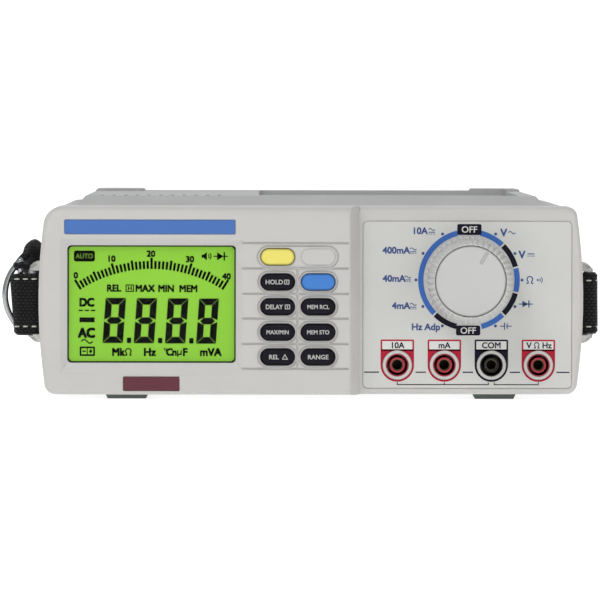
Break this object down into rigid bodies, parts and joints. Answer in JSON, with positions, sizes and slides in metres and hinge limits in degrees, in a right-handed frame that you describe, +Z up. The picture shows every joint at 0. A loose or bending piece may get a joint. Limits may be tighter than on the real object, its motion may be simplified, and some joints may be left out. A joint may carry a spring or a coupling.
{
  "type": "bench multimeter",
  "caption": "Bench multimeter with a backlit display and keypad, a stepped-back dial panel with test-lead sockets, fold-out tilt legs and a webbing carry strap.",
  "frame": {"origin": "centre of the whole object's outline on the table, strap included; the case's own centre line is 4.25 mm to the right of it", "axes": "+X to the operator's right, +Y from the front face to the rear, +Z up"},
  "size_m": [0.2441, 0.259, 0.0837],
  "materials": {
    "case_front": "fine spark texture, satin",
    "case_cover": "fine spark texture, satin",
    "rear_plate": "fine texture, matt",
    "strip_blue": "printed film, semi-gloss",
    "badge_maroon": "printed metal foil",
    "overlay": "printed film, fine matt",
    "window": "clear polished acrylic",
    "lcd_cell": "backlit liquid crystal cell",
    "diffuser": "milky light guide",
    "circuit_board": "solder mask",
    "silicone": "matt silicone",
    "key_yellow": "satin",
    "key_blue": "satin",
    "key_black": "satin",
    "knob": "satin, fluted edge",
    "knob_face": "smooth satin",
    "steel": "zinc plated",
    "white_plastic": "moulded",
    "spring_bronze": "sprung, bright",
    "black_plastic": "moulded",
    "cable_grey": "ribbed cable",
    "red_plastic": "glossy",
    "jack_black": "glossy",
    "contact_metal": "nickel plated",
    "capacitor_sleeve": "shrink sleeve",
    "ceramic": "ceramic tube",
    "core_steel": "varnished laminations",
    "coil_tape": "tape over copper winding",
    "cell_jacket": "plain jacket",
    "foot_rubber": "matt",
    "plated_metal": "bright plated",
    "lug_plastic": "satin",
    "webbing": "woven nylon webbing"
  },
  "bodies": {
    "case": {"front_bezel": "case_front", "title_strip": "strip_blue", "badge_plate": "badge_maroon", "panel_overlay": "overlay", "lcd_window": "window", "lcd_glass": "lcd_cell", "lcd_backlight": "diffuser", "lcd_holder": "diffuser", "display_board": "circuit_board", "keypad_mat": "silicone", "switch_housing": "black_plastic", "main_board": "circuit_board", "main_chips": "black_plastic", "ribbon_cable": "cable_grey", "jack_bodies_red": "red_plastic", "jack_body_black": "jack_black", "jack_contacts": "contact_metal", "power_board": "circuit_board", "capacitors": "capacitor_sleeve", "fuses": "ceramic", "fuse_clips": "contact_metal", "buzzer": "black_plastic", "transformer_core": "core_steel", "transformer_coil": "coil_tape", "battery_cells": "cell_jacket", "battery_holder": "black_plastic", "battery_contacts": "contact_metal", "top_cover": "case_cover", "bottom_cover": "case_cover", "rear_panel": "rear_plate", "mains_inlet": "black_plastic", "inlet_pins": "contact_metal", "serial_port": "plated_metal", "front_feet": "foot_rubber", "rear_feet": "foot_rubber", "tilt_leg_pins": "steel", "strap_lugs": "lug_plastic", "strap_fittings": "plated_metal", "carry_strap": "webbing", "screws": "steel"},
    "dial": {"selector_knob": "knob", "knob_cap": "knob_face", "selector_shaft": "steel", "switch_rotor": "white_plastic", "rotor_wipers": "spring_bronze", "detent_balls": "steel", "detent_springs": "steel"},
    "button_yellow": {"button_yellow": "key_yellow"},
    "button_blue": {"button_blue": "key_blue"},
    "button_hold": {"button_hold": "key_black"},
    "button_delay": {"button_delay": "key_black"},
    "button_maxmin": {"button_maxmin": "key_black"},
    "button_relative": {"button_relative": "key_black"},
    "button_recall": {"button_recall": "key_black"},
    "button_store": {"button_store": "key_black"},
    "button_range": {"button_range": "key_black"},
    "tilt_leg_left": {"tilt_leg_left": "foot_rubber"},
    "tilt_leg_right": {"tilt_leg_right": "foot_rubber"},
    "battery_door": {"battery_door": "case_cover"},
    "fuse_drawer": {"fuse_drawer": "black_plastic"}
  },
  "joints": [
    {"name": "dial_turn", "type": "hinge", "parent": "case", "child": "dial", "pos_m": [0.06795, -0.11547, 0.0493], "axis": [0, 1, 0], "continuous": true},
    {"name": "press_yellow", "type": "slide", "parent": "case", "child": "button_yellow", "axis": [0, 1, 0], "range_m": [0, 0.0012]},
    {"name": "press_blue", "type": "slide", "parent": "case", "child": "button_blue", "axis": [0, 1, 0], "range_m": [0, 0.0012]},
    {"name": "press_hold", "type": "slide", "parent": "case", "child": "button_hold", "axis": [0, 1, 0], "range_m": [0, 0.0012]},
    {"name": "press_delay", "type": "slide", "parent": "case", "child": "button_delay", "axis": [0, 1, 0], "range_m": [0, 0.0012]},
    {"name": "press_maxmin", "type": "slide", "parent": "case", "child": "button_maxmin", "axis": [0, 1, 0], "range_m": [0, 0.0012]},
    {"name": "press_relative", "type": "slide", "parent": "case", "child": "button_relative", "axis": [0, 1, 0], "range_m": [0, 0.0012]},
    {"name": "press_recall", "type": "slide", "parent": "case", "child": "button_recall", "axis": [0, 1, 0], "range_m": [0, 0.0012]},
    {"name": "press_store", "type": "slide", "parent": "case", "child": "button_store", "axis": [0, 1, 0], "range_m": [0, 0.0012]},
    {"name": "press_range", "type": "slide", "parent": "case", "child": "button_range", "axis": [0, 1, 0], "range_m": [0, 0.0012]},
    {"name": "leg_fold_left", "type": "hinge", "parent": "case", "child": "tilt_leg_left", "pos_m": [-0.07075, -0.07447, 0.00162], "axis": [-1, 0, 0], "range_deg": [0, 80]},
    {"name": "leg_fold_right", "type": "hinge", "parent": "case", "child": "tilt_leg_right", "pos_m": [0.07925, -0.07447, 0.00162], "axis": [-1, 0, 0], "range_deg": [0, 80]},
    {"name": "battery_door_open", "type": "hinge", "parent": "case", "child": "battery_door", "pos_m": [0.06025, -0.01847, 0.003], "axis": [-1, 0, 0], "range_deg": [0, 75]},
    {"name": "fuse_drawer_slide", "type": "slide", "parent": "case", "child": "fuse_drawer", "axis": [0, 1, 0], "range_m": [0, 0.022]}
  ]
}
